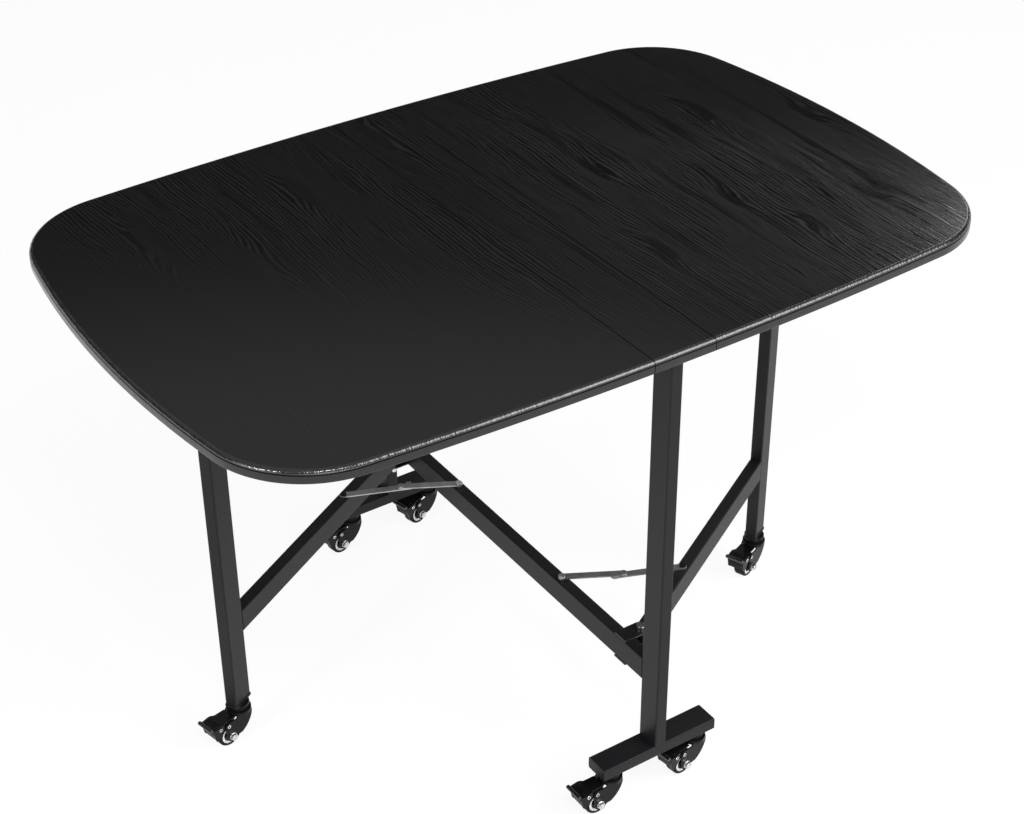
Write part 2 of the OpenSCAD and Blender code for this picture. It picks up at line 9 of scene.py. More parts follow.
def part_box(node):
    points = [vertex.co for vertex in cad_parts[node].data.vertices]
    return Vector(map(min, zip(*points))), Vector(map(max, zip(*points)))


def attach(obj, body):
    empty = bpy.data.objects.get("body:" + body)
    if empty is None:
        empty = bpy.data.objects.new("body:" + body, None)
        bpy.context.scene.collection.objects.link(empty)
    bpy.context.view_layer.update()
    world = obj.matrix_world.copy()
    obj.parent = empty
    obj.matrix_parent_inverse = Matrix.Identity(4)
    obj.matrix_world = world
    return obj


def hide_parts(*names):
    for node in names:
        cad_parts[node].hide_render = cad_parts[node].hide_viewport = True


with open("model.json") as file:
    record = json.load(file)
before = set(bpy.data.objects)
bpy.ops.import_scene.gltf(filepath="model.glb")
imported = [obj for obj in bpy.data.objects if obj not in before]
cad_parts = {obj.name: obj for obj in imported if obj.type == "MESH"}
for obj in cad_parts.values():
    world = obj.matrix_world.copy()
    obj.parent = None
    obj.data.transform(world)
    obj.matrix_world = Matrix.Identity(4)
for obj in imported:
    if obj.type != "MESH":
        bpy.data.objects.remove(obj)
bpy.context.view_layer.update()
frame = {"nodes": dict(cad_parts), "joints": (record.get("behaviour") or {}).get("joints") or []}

MM = 0.001
HAIR = 1e-6
JOINTS = {joint["name"]: joint for joint in frame["joints"]}
CASTERS = ["front_left", "front_right", "back_left", "back_right", "left_gate", "right_gate"]

# Sizes of the top, in metres, from the frame
TOP_LOW, TOP_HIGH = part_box("centre_edging")
TOP_Z = TOP_HIGH[2]
BOARD_T = TOP_HIGH[2] - TOP_LOW[2]
HALF_WIDTH = TOP_HIGH[1]
STRIP_HALF = TOP_HIGH[0]
HALF_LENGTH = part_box("right_edging")[1][0]
LEAF_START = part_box("right_edging")[0][0]

# Radii of the top's outline, in metres, as the part's source has them
LONG_EDGE_R = 6.25
END_EDGE_R = 1.61
CORNER_R = 0.146


# Shader building: places of the colour sockets on the mix node
MIX_FIRST = 6
MIX_SECOND = 7
MIX_RESULT = 2


class Paint:
    """A Principled material whose nodes are added by name, on the object's own coordinates."""

    def __init__(self, name, ior=1.5):
        self.material = bpy.data.materials.new(name)
        self.material.use_nodes = True
        self.tree = self.material.node_tree
        self.shader = self.tree.nodes["Principled BSDF"]
        self.set("IOR", ior)
        self.place = self.tree.nodes.new("ShaderNodeTexCoord").outputs["Object"]

    def feed(self, target, value):
        if isinstance(value, bpy.types.NodeSocket):
            self.tree.links.new(value, target)
        else:
            target.default_value = value

    def set(self, socket, value):
        self.feed(self.shader.inputs[socket], value)

    def node(self, kind, inputs, **properties):
        made = self.tree.nodes.new(kind)
        for key, value in properties.items():
            setattr(made, key, value)
        for key, value in inputs.items():
            self.feed(made.inputs[key], value)
        return made

    def math(self, operation, a, b=0.0, c=0.0):
        return self.node("ShaderNodeMath", {0: a, 1: b, 2: c}, operation=operation).outputs[0]

    def noise(self, scale, detail=2.0, rough=0.5, vector=None):
        source = self.place if vector is None else vector
        place = self.node("ShaderNodeMapping", {"Vector": source, "Scale": scale}).outputs[0]
        inputs = {"Vector": place, "Scale": 1.0, "Detail": detail, "Roughness": rough}
        return self.node("ShaderNodeTexNoise", inputs).outputs[0]

    def spread(self, value, low, high, to_low=0.0, to_high=1.0):
        inputs = {"Value": value, "From Min": low, "From Max": high, "To Min": to_low, "To Max": to_high}
        return self.node("ShaderNodeMapRange", inputs).outputs[0]

    def blend(self, factor, first, second):
        made = self.node("ShaderNodeMix", {0: factor}, data_type="RGBA")
        for index, value in ((MIX_FIRST, first), (MIX_SECOND, second)):
            self.feed(made.inputs[index], (*value, 1.0) if isinstance(value, tuple) else value)
        return made.outputs[MIX_RESULT]

    def bump(self, height, distance, strength):
        made = self.node("ShaderNodeBump", {"Height": height, "Distance": distance, "Strength": strength})
        self.set("Normal", made.outputs[0])


# Wood-grain laminate: pitch and height of its ridges in metres, and the level of the flat gaps between them
RIDGE_PITCH = 5.2 * MM
RIDGE_HEIGHT = 0.08 * MM
FLAT_LEVEL = 0.26

# Noise of the laminate in cycles per metre across the grain, along it and down
DRIFT_SCALE = (3.0, 1.1, 1)
WAVER_SCALE = (24, 6, 1)
JITTER_SCALE = (130, 9, 1)
ZONE_SCALE = (52, 3.0, 1)
SLIT_SCALE = (330, 9, 1)
PIT_SCALE = (900, 60, 1)

# How far three of these noises push the grain aside, in metres
DRIFT_REACH = 0.10
WAVER_REACH = 0.018
JITTER_REACH = 0.005

# Knots of the board's print: place, size of the swirl across and along the grain, and its pull, in metres
KNOTS = [
    (0.470, -0.211, 0.018, 0.060, 0.017),
    (0.345, -0.235, 0.014, 0.050, -0.012),
    (0.296, -0.120, 0.013, 0.050, 0.010),
    (0.435, 0.127, 0.016, 0.070, -0.014),
    (0.190, 0.060, 0.013, 0.060, 0.009),
    (0.131, -0.180, 0.014, 0.055, -0.012),
    (0.560, 0.030, 0.015, 0.060, 0.013),
    (-0.014, 0.330, 0.016, 0.090, 0.016),
    (-0.190, 0.240, 0.016, 0.090, -0.018),
    (-0.330, 0.080, 0.016, 0.090, 0.016),
    (-0.430, 0.210, 0.014, 0.090, -0.016),
]

# Colours of the laminate, and how its ridges, slits and pits change its tone, gloss and relief
GRAIN_DARK = (0.0008, 0.0008, 0.0010)
GRAIN_LIGHT = (0.0400, 0.0404, 0.0450)
CUT_DARK = (0.0015, 0.0015, 0.0018)
RIDGE_MIDDLE = 0.52
MIDDLE_TONE = 0.15
EYE_TONE = 0.05
CUT_SHARE = 0.55
FLAT_ROUGH = 0.135
RIDGE_ROUGH = -0.02
CUT_ROUGH = 0.18
SLIT_DEPTH = -0.30
PIT_DEPTH = -0.08


def swirled_grain(paint, x, y):
    """Distance across the grain, pulled aside so that it loops round each knot, and the knots' eyes."""
    across = paint.math("MULTIPLY_ADD", paint.noise(DRIFT_SCALE), DRIFT_REACH, x)
    across = paint.math("MULTIPLY_ADD", paint.noise(WAVER_SCALE, detail=3.0), WAVER_REACH, across)
    across = paint.math("MULTIPLY_ADD", paint.noise(JITTER_SCALE, detail=1.0), JITTER_REACH, across)
    eyes = 0.0
    for knot_x, knot_y, size_x, size_y, pull in KNOTS:
        dx = paint.math("DIVIDE", paint.math("SUBTRACT", x, knot_x), size_x)
        dy = paint.math("DIVIDE", paint.math("SUBTRACT", y, knot_y), size_y)
        square = paint.math("MULTIPLY_ADD", dx, dx, paint.math("MULTIPLY", dy, dy))
        bell = paint.math("EXPONENT", paint.math("MULTIPLY", square, -1.0))
        across = paint.math("MULTIPLY_ADD", bell, pull, across)
        eyes = paint.math("MAXIMUM", bell, eyes)
    return across, eyes


def ridged_zones(paint, across, eyes, grain_at):
    """Ridges along the grain, flat between the zones that have them and in the knots' eyes."""
    phase = paint.math("MULTIPLY", across, math.tau / RIDGE_PITCH)
    ridge = paint.spread(paint.math("SINE", phase), -0.30, 0.80)
    zones = paint.spread(paint.noise(ZONE_SCALE, vector=grain_at), 0.31, 0.44)
    zones = paint.math("MULTIPLY", zones, paint.spread(eyes, 0.55, 0.80, 1.0, 0.0))
    return paint.math("MULTIPLY_ADD", paint.math("SUBTRACT", ridge, FLAT_LEVEL), zones, FLAT_LEVEL)


def relief_and_sheen_share(paint, x, y):
    """Share of the relief and of the ridges' painted sheen: faint at the near left, strong to the right,
    weaker in the far right corner.
    """
    diagonal = paint.math("MULTIPLY_ADD", x, 0.75, paint.math("MULTIPLY", y, 0.65))
    near_left = paint.spread(diagonal, -0.30, -0.06, 0.08, 1.0)
    right = paint.spread(x, 0.0, 0.45, 0.40, 1.5)
    far_right = paint.spread(paint.math("ADD", x, y), 0.35, 0.60, 1.0, 0.35)
    return paint.math("MULTIPLY", paint.math("MULTIPLY", near_left, right), far_right)


def laminate():
    """Nearly black wood-grain laminate: embossed ridges that loop round knots, fine slits and pits."""
    paint = Paint("wood_laminate", ior=1.45)
    split = paint.node("ShaderNodeSeparateXYZ", {0: paint.place})
    x, y = split.outputs[0], split.outputs[1]
    across, eyes = swirled_grain(paint, x, y)
    grain_at = paint.node("ShaderNodeCombineXYZ", {0: across, 1: y}).outputs[0]
    ridged = ridged_zones(paint, across, eyes, grain_at)
    share = relief_and_sheen_share(paint, x, y)
    slits = paint.spread(paint.noise(SLIT_SCALE, rough=0.6, vector=grain_at), 0.44, 0.62)
    pits = paint.spread(paint.noise(PIT_SCALE, rough=0.6, vector=grain_at), 0.52, 0.66)

    # The share also scales the colour contrast of the ridges, slits and pits. This is painted sheen: stronger
    # where the light shows the grain, faint where it washes the grain out.
    tone = paint.math("MULTIPLY_ADD", paint.math("SUBTRACT", ridged, RIDGE_MIDDLE), share, MIDDLE_TONE)
    tone = paint.math("MULTIPLY_ADD", paint.spread(eyes, 0.6, 0.9), EYE_TONE, tone)
    cut = paint.math("MULTIPLY", paint.math("MAXIMUM", slits, pits), CUT_SHARE)
    cut = paint.math("MULTIPLY", cut, share)
    paint.set("Base Color", paint.blend(cut, paint.blend(tone, GRAIN_DARK, GRAIN_LIGHT), CUT_DARK))

    gloss = paint.math("MULTIPLY_ADD", ridged, RIDGE_ROUGH, FLAT_ROUGH)
    paint.set("Roughness", paint.math("MULTIPLY_ADD", cut, CUT_ROUGH, gloss))

    relief = paint.math("MULTIPLY_ADD", slits, SLIT_DEPTH, ridged)
    relief = paint.math("MULTIPLY_ADD", pits, PIT_DEPTH, relief)
    paint.bump(paint.math("MULTIPLY", relief, share), RIDGE_HEIGHT, 1.0)
    return paint.material


def edging(name, ior, beading, relief_height):
    """Glossy black edging strip, wavy along its length, beaded where the grain crosses it."""
    paint = Paint(name, ior)
    ripple = paint.noise((60, 60, 30))
    beads = paint.noise((beading, 20, 20))
    fine = paint.noise((420, 420, 160))
    paint.set("Base Color", paint.blend(ripple, (0.0050, 0.0050, 0.0056), (0.0085, 0.0085, 0.0095)))
    paint.set("Roughness", paint.spread(fine, 0.3, 0.7, 0.15, 0.28))
    relief = paint.math("MULTIPLY_ADD", beads, 0.8, paint.math("MULTIPLY_ADD", fine, 0.2, ripple))
    paint.bump(relief, relief_height, 0.5)
    return paint.material


SPECK_SHARE = 0.35
COAT_ROUGH = 0.12
PEEL_HEIGHT = 0.06 * MM


def coated(name, dark, light, rough, grain=1500, coat=0.0, ior=1.5):
    """Sprayed or moulded coat: orange-peel texture, and cloudy changes of tone and gloss."""
    paint = Paint(name, ior)
    paint.set("Coat Weight", coat)
    paint.set("Coat Roughness", COAT_ROUGH)
    cloud = paint.noise((9, 9, 5), detail=3.0)
    peel = paint.noise((grain, grain, grain))
    speck = paint.noise((grain * SPECK_SHARE, grain * SPECK_SHARE, grain * SPECK_SHARE))
    paint.set("Base Color", paint.blend(paint.spread(cloud, 0.3, 0.7), dark, light))
    paint.set("Roughness", paint.spread(speck, 0.3, 0.7, rough - 0.05, rough + 0.08))
    paint.bump(peel, PEEL_HEIGHT, 0.55)
    return paint.material


PATCH_SHADE = 0.72
STREAK_HEIGHT = 0.03 * MM


def plated(name, color, rough, streak=(40, 900, 900)):
    """Bare or zinc-plated steel: drawn streaks and cloudy, darker patches."""
    paint = Paint(name)
    paint.set("Metallic", 1.0)
    streaks = paint.noise(streak, detail=3.0, rough=0.6)
    cloud = paint.noise((60, 60, 60), detail=3.0)
    shade = tuple(part * PATCH_SHADE for part in color)
    paint.set("Base Color", paint.blend(paint.spread(cloud, 0.35, 0.7), color, shade))
    paint.set("Roughness", paint.spread(streaks, 0.3, 0.7, rough - 0.08, rough + 0.12))
    paint.bump(streaks, STREAK_HEIGHT, 0.6)
    return paint.material


RUBBER_BLACK = (0.006, 0.006, 0.0066)
RUBBER_DUSTY = (0.014, 0.014, 0.0148)
RUBBER_GRAIN = 0.04 * MM


def rubber():
    """Tyre: matt, slightly greyed where it is dusty."""
    paint = Paint("tyre_rubber", ior=1.20)
    dust = paint.noise((140, 140, 140), detail=4.0)
    grain = paint.noise((2600, 2600, 2600), detail=1.0)
    paint.set("Base Color", paint.blend(paint.spread(dust, 0.45, 0.75), RUBBER_BLACK, RUBBER_DUSTY))
    paint.set("Roughness", paint.spread(dust, 0.3, 0.7, 0.42, 0.62))
    paint.bump(grain, RUBBER_GRAIN, 0.5)
    return paint.material


LAMINATE = laminate()
EDGING = edging("glossy_edging", 1.5, 150, 0.6 * MM)
ARRIS = edging("polished_arris", 1.75, 260, 1.8 * MM)
POWDER = coated("powder_coat", (0.0055, 0.0055, 0.0064), (0.0085, 0.0085, 0.0098), 0.46, ior=1.32)
BRACKET = coated("bracket_paint", (0.0060, 0.0060, 0.0066), (0.0090, 0.0090, 0.0100), 0.30, ior=1.38)
PLUG = coated("moulded_plug", (0.0085, 0.0085, 0.0092), (0.0135, 0.0135, 0.0145), 0.48, grain=900, ior=1.33)
FORK = coated("fork_enamel", (0.0050, 0.0050, 0.0056), (0.0080, 0.0080, 0.0088), 0.22, grain=700, ior=1.22)
PEDAL = coated("pedal_enamel", (0.0035, 0.0035, 0.0040), (0.0060, 0.0060, 0.0068), 0.18, grain=700, ior=1.26)
LIP = coated("polished_lip", (0.0035, 0.0035, 0.0040), (0.0060, 0.0060, 0.0068), 0.20, grain=700, ior=1.60)
WEB = coated("hub_black", (0.0040, 0.0040, 0.0045), (0.0075, 0.0075, 0.0082), 0.36, grain=900, ior=1.25)
RIM = coated("pale_rim", (0.72, 0.72, 0.71), (0.84, 0.84, 0.83), 0.30, grain=800, coat=0.3)
ZINC = plated("bright_zinc", (0.78, 0.79, 0.81), 0.24, streak=(300, 300, 300))
LINK = plated("strut_steel", (0.47, 0.475, 0.485), 0.38)
SHEET = plated("hinge_sheet", (0.48, 0.49, 0.51), 0.34)
RUBBER = rubber()


# Mesh building


def round_edges(piece, width, segments, angle):
    rounding = piece.modifiers.new("rounding", "BEVEL")
    rounding.width = width
    rounding.segments = segments
    rounding.limit_method = "ANGLE"
    rounding.angle_limit = math.radians(angle)
    rounding.harden_normals = True


def finish_piece(mesh, name, paints, body, nodes, bevel=0.0, segments=2, angle=35):
    """Shades a mesh, rounds its edges, and lets it ride on its body in place of its CAD nodes."""
    mesh.shade_smooth()
    mesh.set_sharp_from_angle(angle=math.radians(angle))
    piece = bpy.data.objects.new(name, mesh)
    bpy.context.scene.collection.objects.link(piece)
    for paint in paints:
        mesh.materials.append(paint)
    if bevel:
        round_edges(piece, bevel, segments, angle)
    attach(piece, body)
    if nodes:
        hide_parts(*nodes)


def mesh_of(bm, name):
    bmesh.ops.recalc_face_normals(bm, faces=bm.faces)
    mesh = bpy.data.meshes.new(name)
    bm.to_mesh(mesh)
    bm.free()
    return mesh


def arc(centre, radius, start, end, steps, first=0):
    """Points along an arc, in degrees, as (x, y)."""
    points = []
    for step in range(first, steps + 1):
        turn = math.radians(start + (end - start) * step / steps)
        points.append((centre[0] + radius * math.cos(turn), centre[1] + radius * math.sin(turn)))
    return points


# The table top: centres of its edges' arcs, and the steps that each stretch is drawn with
LONG_CENTRE = (0.0, HALF_WIDTH - LONG_EDGE_R)
END_CENTRE = (HALF_LENGTH - END_EDGE_R, 0.0)
END_STEPS = 14
CORNER_STEPS = 48
LONG_STEPS = 40
STRIP_STEPS = 10


def corner_centre():
    """Centre of the corner arc that is tangent to the long edge's arc and the end's arc."""
    reach_long = LONG_EDGE_R - CORNER_R
    reach_end = END_EDGE_R - CORNER_R
    gap = Vector(END_CENTRE) - Vector(LONG_CENTRE)
    along = (reach_long**2 - reach_end**2 + gap.length_squared) / (2 * gap.length)
    aside = math.sqrt(reach_long**2 - along**2)
    way = gap.normalized()
    return Vector(LONG_CENTRE) + way * along + Vector((way.y, -way.x)) * aside


def right_half(inset):
    """Right half of the top's outline, from the front middle round to the back middle."""
    centre = corner_centre()
    long_turn = math.degrees(math.atan2(centre.y - LONG_CENTRE[1], centre.x))
    end_turn = math.degrees(math.atan2(centre.y, centre.x - END_CENTRE[0]))
    upper = arc(END_CENTRE, END_EDGE_R - inset, 0, end_turn, END_STEPS)
    upper += arc(centre, CORNER_R - inset, end_turn, long_turn, CORNER_STEPS, 1)
    upper += arc(LONG_CENTRE, LONG_EDGE_R - inset, long_turn, 90, LONG_STEPS, 1)
    lower = [(x, -y) for x, y in reversed(upper[1:])]
    return lower + upper


def edge_y(x, inset):
    """How far the outline reaches in Y at x, on the long edge."""
    return math.sqrt((LONG_EDGE_R - inset) ** 2 - x * x) - LONG_EDGE_R + HALF_WIDTH


def leaf_outline(inset):
    """The right leaf's outline from its front seam corner round to its back seam corner."""
    inner = [point for point in right_half(inset) if point[0] > LEAF_START + HAIR]
    reach = edge_y(LEAF_START, inset)
    return [(LEAF_START, -reach)] + inner + [(LEAF_START, reach)]


def strip_run(inset, side=-1):
    """One end of the centre strip, from left to right; side -1 is the front end."""
    xs = [STRIP_HALF * (2 * step / STRIP_STEPS - 1) for step in range(STRIP_STEPS + 1)]
    return [(x, side * edge_y(x, inset)) for x in xs]


def board(name, points, turn, body, node):
    """Board from an outline, with a half turn about Z where turn is set."""
    bm = bmesh.new()
    sign = -1 if turn else 1
    base = [bm.verts.new((sign * x, sign * y, TOP_Z - BOARD_T)) for x, y in points]
    face = bm.faces.new(base)
    grown = bmesh.ops.extrude_face_region(bm, geom=[face])
    moved = [item for item in grown["geom"] if isinstance(item, bmesh.types.BMVert)]
    bmesh.ops.translate(bm, verts=moved, vec=(0, 0, BOARD_T))
    mesh = mesh_of(bm, name)
    finish_piece(mesh, name, [LAMINATE], body, [node], bevel=0.1 * MM, segments=1, angle=60)


# Section of the edging: how far in from the outline, and height over the underside
ARRIS_R = 6.0 * MM
FOOT_R = 1.2 * MM
FOOT_STEPS = 4
GROOVE_LOW = 11.2 * MM
GROOVE_HIGH = 13.0 * MM
GROOVE_DEPTH = 1.4 * MM
GROOVE_SLOPE = 0.3 * MM
ARRIS_START = 170
ARRIS_STEPS = 10


def edging_section():
    face = [(ARRIS_R, 0.0)] + arc((FOOT_R, FOOT_R), FOOT_R, 270, 180, FOOT_STEPS)
    face += [(0.0, GROOVE_LOW), (GROOVE_DEPTH, GROOVE_LOW + GROOVE_SLOPE)]
    face += [(GROOVE_DEPTH, GROOVE_HIGH - GROOVE_SLOPE)]
    face += arc((ARRIS_R, BOARD_T - ARRIS_R), ARRIS_R, ARRIS_START, 90, ARRIS_STEPS)
    return face


def edging_strip(name, run_at, turn, body, node):
    """Edging that is swept along a run of the outline: run_at(inset) gives the run at that inset."""
    section = edging_section()
    bm = bmesh.new()
    sign = -1 if turn else 1
    runs = []
    for inset, height in section:
        z = TOP_Z - BOARD_T + height
        runs.append([bm.verts.new((sign * x, sign * y, z)) for x, y in run_at(inset)])
    for index in range(len(section)):
        lower = runs[index]
        upper = runs[(index + 1) % len(section)]
        on_arris = len(section) - ARRIS_STEPS - 1 <= index < len(section) - 1
        for step in range(len(lower) - 1):
            face = bm.faces.new((lower[step], lower[step + 1], upper[step + 1], upper[step]))
            face.material_index = 1 if on_arris else 0
    bm.faces.new([run[0] for run in runs])
    bm.faces.new([run[-1] for run in reversed(runs)])
    finish_piece(mesh_of(bm, name), name, [EDGING, ARRIS], body, [node], angle=50)


def build_top():
    leaf = leaf_outline(ARRIS_R)
    strip = strip_run(ARRIS_R, -1) + list(reversed(strip_run(ARRIS_R, 1)))
    board("right_board", leaf, False, "right_leaf", "right_leaf")
    board("left_board", leaf, True, "left_leaf", "left_leaf")
    board("middle_board", strip, False, "frame", "centre_panel")
    edging_strip("right_edge_strip", leaf_outline, False, "right_leaf", "right_edging")
    edging_strip("left_edge_strip", leaf_outline, True, "left_leaf", "left_edging")
    edging_strip("front_edge_strip", strip_run, False, "frame", "centre_edging")
    edging_strip("back_edge_strip", strip_run, True, "frame", "centre_edging")


# The casters' wheels, rivets and pedals, in a caster's own directions: trailing, sideways, up


def joint_at(name):
    return Vector(JOINTS[name]["pos_m"])


STEM_AT = joint_at("front_left_swivel_turn")
AXLE_AT = joint_at("front_left_wheel_spin")
PIN_AT = joint_at("front_left_brake_press")
WHEEL_CENTRE = ((AXLE_AT - STEM_AT).xy.length, AXLE_AT.z)
PEDAL_PIN = ((PIN_AT - STEM_AT).xy.length, PIN_AT.z)
PEDAL_RIVET = (PEDAL_PIN[0] + 15.2 * MM, PEDAL_PIN[1] + 2.9 * MM)

# Wheel hub
RIM_OUT = 15.5 * MM
RIM_IN = 11.2 * MM
RIM_HALF = 8.5 * MM
RIM_SOFT = 0.4 * MM
BOSS_R = 6.0 * MM
BOSS_HALF = 11.8 * MM
WEB_HALF = 6.5 * MM
BORE_R = 3.06 * MM
SPOKES = 5
SPOKE_HALF = 0.8 * MM
SPOKE_RISE = 1.1 * MM

# Rivets: ring and bore's floor as radius and rise over the rivet's face, in mm, and the paint of each span;
# the bore's wall and floor are painted black as painted shade in the hole
RIVET_FACE = 15.7 * MM
RIVET_RING = [(2.9, -0.5), (2.9, 0.0), (2.6, 0.32), (2.0, 0.42), (1.5, 0.2), (1.3, -0.5)]
RIVET_PAINTS = [0, 0, 0, 0, 1, 1]
RIVET_SHADE_FLOOR = [(1.35, -0.45), (1.35, -0.2)]
RIVET_SEGMENTS = 28

# Pedal's tread: place behind the stem, rise over the tread's level and half width, in mm
TREAD_Z = PEDAL_PIN[1] + 9.0 * MM
SHEET_T = 1.6 * MM
TREAD = [
    (19.0, 0.0, 11.95),
    (30.0, 0.0, 11.95),
    (37.0, 0.0, 11.95),
    (38.2, 0.0, 12.4),
    (40.5, 0.0, 14.2),
    (42.5, 0.0, 15.2),
    (44.5, 0.0, 15.5),
    (47.0, -0.1, 15.5),
    (50.0, -0.6, 15.5),
    (53.0, -1.25, 15.5),
    (55.5, -1.6, 15.5),
    (57.5, -1.6, 15.5),
    (59.2, -1.1, 15.5),
    (60.6, -0.2, 15.5),
    (61.8, 0.9, 15.5),
]

# Cross ribs of the tread: place and drop in mm, and a rib's section as radius and sideways place
RIBS = [(45.2, 0.0), (48.2, 0.25), (51.2, 0.85)]
RIB = [(0.2, -13.2), (0.75, -12.4), (0.75, 12.4), (0.2, 13.2)]
RIB_SEGMENTS = 14

# Rolled lip at the pedal's end
LIP_AT = (62.3 * MM, 51.3 * MM)
LIP_R = 3.0 * MM
LIP_SOFT = 0.9 * MM
LIP_SEGMENTS = 20
PEDAL_HALF = 15.5 * MM

# Side outlines of the pedal, as place behind the stem and height in mm, and where they stand sideways
CHEEK = [(39, 50.2), (41, 38), (46, 30), (50.4, 25.2), (55.4, 27.2), (59, 44), (56, 49.2)]
CHEEK_IN = 11.9 * MM
CHEEK_OUT = 14.3 * MM
CHEEK_SOFT = 2.4 * MM
EAR = [(50.7, 50.2), (31.5, 50.2), (27.6, 43.6), (27.6, 40.4), (31.5, 38.1), (48.7, 40.9)]
EAR_IN = 10.4 * MM
EAR_OUT = 12.0 * MM
EAR_SOFT = 2.0 * MM
SHOE = [(49.2, 26.0), (54.0, 27.0), (54.6, 33.0), (56.8, 34.0), (58, 44), (55, 49), (51, 49.8), (52, 38)]
SHOE_HALF = 12.0 * MM
HEAD_R = 2.8 * MM
HEAD_FACE_R = 2.4 * MM
HEAD_SOFT = 0.3 * MM


def in_mm(points):
    return [(first * MM, second * MM) for first, second in points]


def mirrored(half):
    """Section of (radius, offset) with its mirror image on the other side."""
    return half + [(radius, -offset) for radius, offset in reversed(half)]


def softened(points, reach, steps=4):
    """Outline with each corner cut by a short curve."""
    out = []
    for index, point in enumerate(points):
        here = Vector(point)
        before, after = Vector(points[index - 1]), Vector(points[(index + 1) % len(points)])
        start = here + (before - here).normalized() * min(reach, (before - here).length * 0.45)
        end = here + (after - here).normalized() * min(reach, (after - here).length * 0.45)
        for step in range(steps + 1):
            t = step / steps
            out.append(tuple(start * (1 - t) ** 2 + here * 2 * t * (1 - t) + end * t**2))
    return out


def caster_matrix(caster):
    stem = joint_at(caster + "_swivel_turn")
    axle = joint_at(caster + "_wheel_spin")
    trail = Vector((axle.x - stem.x, axle.y - stem.y, 0.0)).normalized()
    side = Vector((-trail.y, trail.x, 0.0))
    turn = Matrix((trail, side, Vector((0, 0, 1)))).transposed()
    return Matrix.Translation((stem.x, stem.y, 0.0)) @ turn.to_4x4()


def lathe(bm, centre, section, closed, paints=None, segments=48):
    """Turns a section of (radius, offset) about the sideways line through centre."""
    paints = paints or [0] * len(section)
    rings = []
    for radius, offset in section:
        ring = []
        for step in range(segments):
            turn = math.tau * step / segments
            place = (centre[0] + radius * math.cos(turn), offset, centre[1] + radius * math.sin(turn))
            ring.append(bm.verts.new(place))
        rings.append(ring)
    spans = len(rings) if closed else len(rings) - 1
    for index in range(spans):
        first, second = rings[index], rings[(index + 1) % len(rings)]
        for step in range(segments):
            after = (step + 1) % segments
            face = bm.faces.new((first[step], first[after], second[after], second[step]))
            face.material_index = paints[index]
    if not closed:
        for index in (0, -1):
            bm.faces.new(rings[index]).material_index = paints[index]


def plate(bm, points, start, end, paint=0):
    """Flat plate from an outline in the trailing and upward directions, between two sideways places."""
    low, high = sorted((start, end))
    near = [bm.verts.new((u, low, z)) for u, z in points]
    far = [bm.verts.new((u, high, z)) for u, z in points]
    faces = [bm.faces.new(near), bm.faces.new(list(reversed(far)))]
    for index in range(len(points)):
        after = (index + 1) % len(points)
        faces.append(bm.faces.new((near[index], near[after], far[after], far[index])))
    for face in faces:
        face.material_index = paint


def hub_spoke(bm, turn):
    """Raised rib from the boss to the rim, on both sides of the web."""
    out = Vector((math.cos(turn), math.sin(turn)))
    wide = Vector((-out.y, out.x)) * SPOKE_HALF
    corners = [out * BOSS_R - wide, out * RIM_IN - wide, out * RIM_IN + wide, out * BOSS_R + wide]
    outline = [(WHEEL_CENTRE[0] + corner.x, WHEEL_CENTRE[1] + corner.y) for corner in corners]
    for side in (-1, 1):
        plate(bm, outline, side * (WEB_HALF - RIM_SOFT), side * (WEB_HALF + SPOKE_RISE), 1)


def wheel_hub(caster):
    """Pale rim ring round a black, ribbed hub."""
    bm = bmesh.new()
    ring = [(RIM_IN, WEB_HALF), (RIM_IN, RIM_HALF - RIM_SOFT), (RIM_IN + RIM_SOFT, RIM_HALF)]
    ring += [(RIM_OUT - RIM_SOFT, RIM_HALF), (RIM_OUT, RIM_HALF - RIM_SOFT)]
    lathe(bm, WHEEL_CENTRE, mirrored(ring), closed=True)
    core = [(BORE_R, BOSS_HALF), (BOSS_R - RIM_SOFT, BOSS_HALF), (BOSS_R, BOSS_HALF - RIM_SOFT)]
    core += [(BOSS_R + RIM_SOFT, WEB_HALF), (RIM_IN + RIM_SOFT, WEB_HALF)]
    lathe(bm, WHEEL_CENTRE, mirrored(core), closed=True, paints=[1] * (2 * len(core)))
    for spoke in range(SPOKES):
        hub_spoke(bm, math.tau * spoke / SPOKES)
    bm.transform(caster_matrix(caster))
    name = caster + "_wheel_hub"
    nodes = [caster + "_caster_hub"]
    finish_piece(mesh_of(bm, name), name, [RIM, WEB], caster + "_wheel", nodes)


def rivet_caps(caster, place, body, name):
    """Rolled ring of a tubular rivet on each side, with its bore painted black: painted shade in the hole."""
    bm = bmesh.new()
    for side in (-1, 1):
        # The bore's inner wall and floor take the dark hub paint: painted shade in the hole.
        for section, closed, paints in ((RIVET_RING, True, RIVET_PAINTS), (RIVET_SHADE_FLOOR, False, [1, 1])):
            turned = [(radius * MM, side * (RIVET_FACE + rise * MM)) for radius, rise in section]
            lathe(bm, place, turned, closed, paints, RIVET_SEGMENTS)
    bm.transform(caster_matrix(caster))
    finish_piece(mesh_of(bm, name), name, [ZINC, WEB], body, [], angle=60)


def tread_sheet(bm):
    """Tread: narrow between the fork's arms, wide behind them, dipped before the lip."""
    rings = []
    for u, rise, half in TREAD:
        top = TREAD_Z + rise * MM
        low = top - SHEET_T
        reach = half * MM
        corners = [(-reach, top), (reach, top), (reach, low), (-reach, low)]
        rings.append([bm.verts.new((u * MM, side, z)) for side, z in corners])
    for first, second in zip(rings, rings[1:]):
        for index in range(4):
            after = (index + 1) % 4
            bm.faces.new((first[index], first[after], second[after], second[index]))
    bm.faces.new(rings[0])
    bm.faces.new(list(reversed(rings[-1])))


